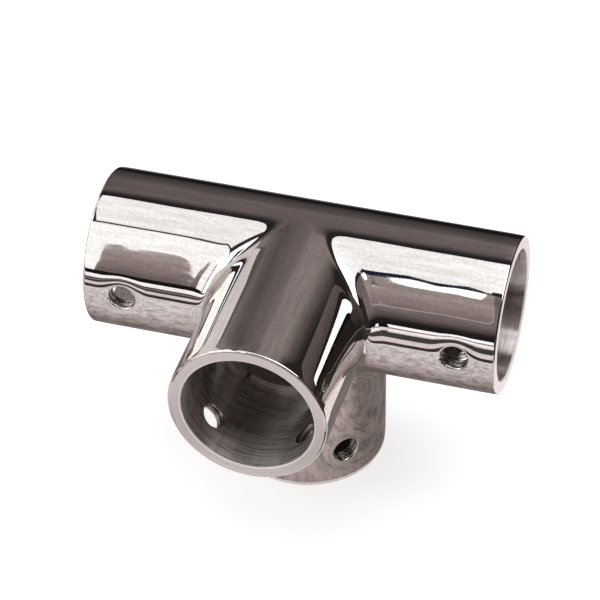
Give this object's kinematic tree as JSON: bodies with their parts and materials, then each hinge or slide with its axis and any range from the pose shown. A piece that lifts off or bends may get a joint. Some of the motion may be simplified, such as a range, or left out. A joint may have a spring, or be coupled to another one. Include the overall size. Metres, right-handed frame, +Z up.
{
  "type": "four way tube fitting",
  "caption": "Polished stainless rail fitting: a straight run of two sockets with a front and a down socket at right angles, each holding a round tube with set screws.",
  "frame": {"origin": "centre of the down socket's mouth, in the plane the fitting stands on", "axes": "+Z up along the down socket's centre line, X along the straight run, -Y out of the front socket"},
  "size_m": [0.081, 0.0559, 0.0559],
  "materials": {
    "polished_stainless": "mirror polished stainless steel, bores as machined"
  },
  "bodies": {
    "root": {"four_way_fitting": "polished_stainless"}
  },
  "joints": []
}
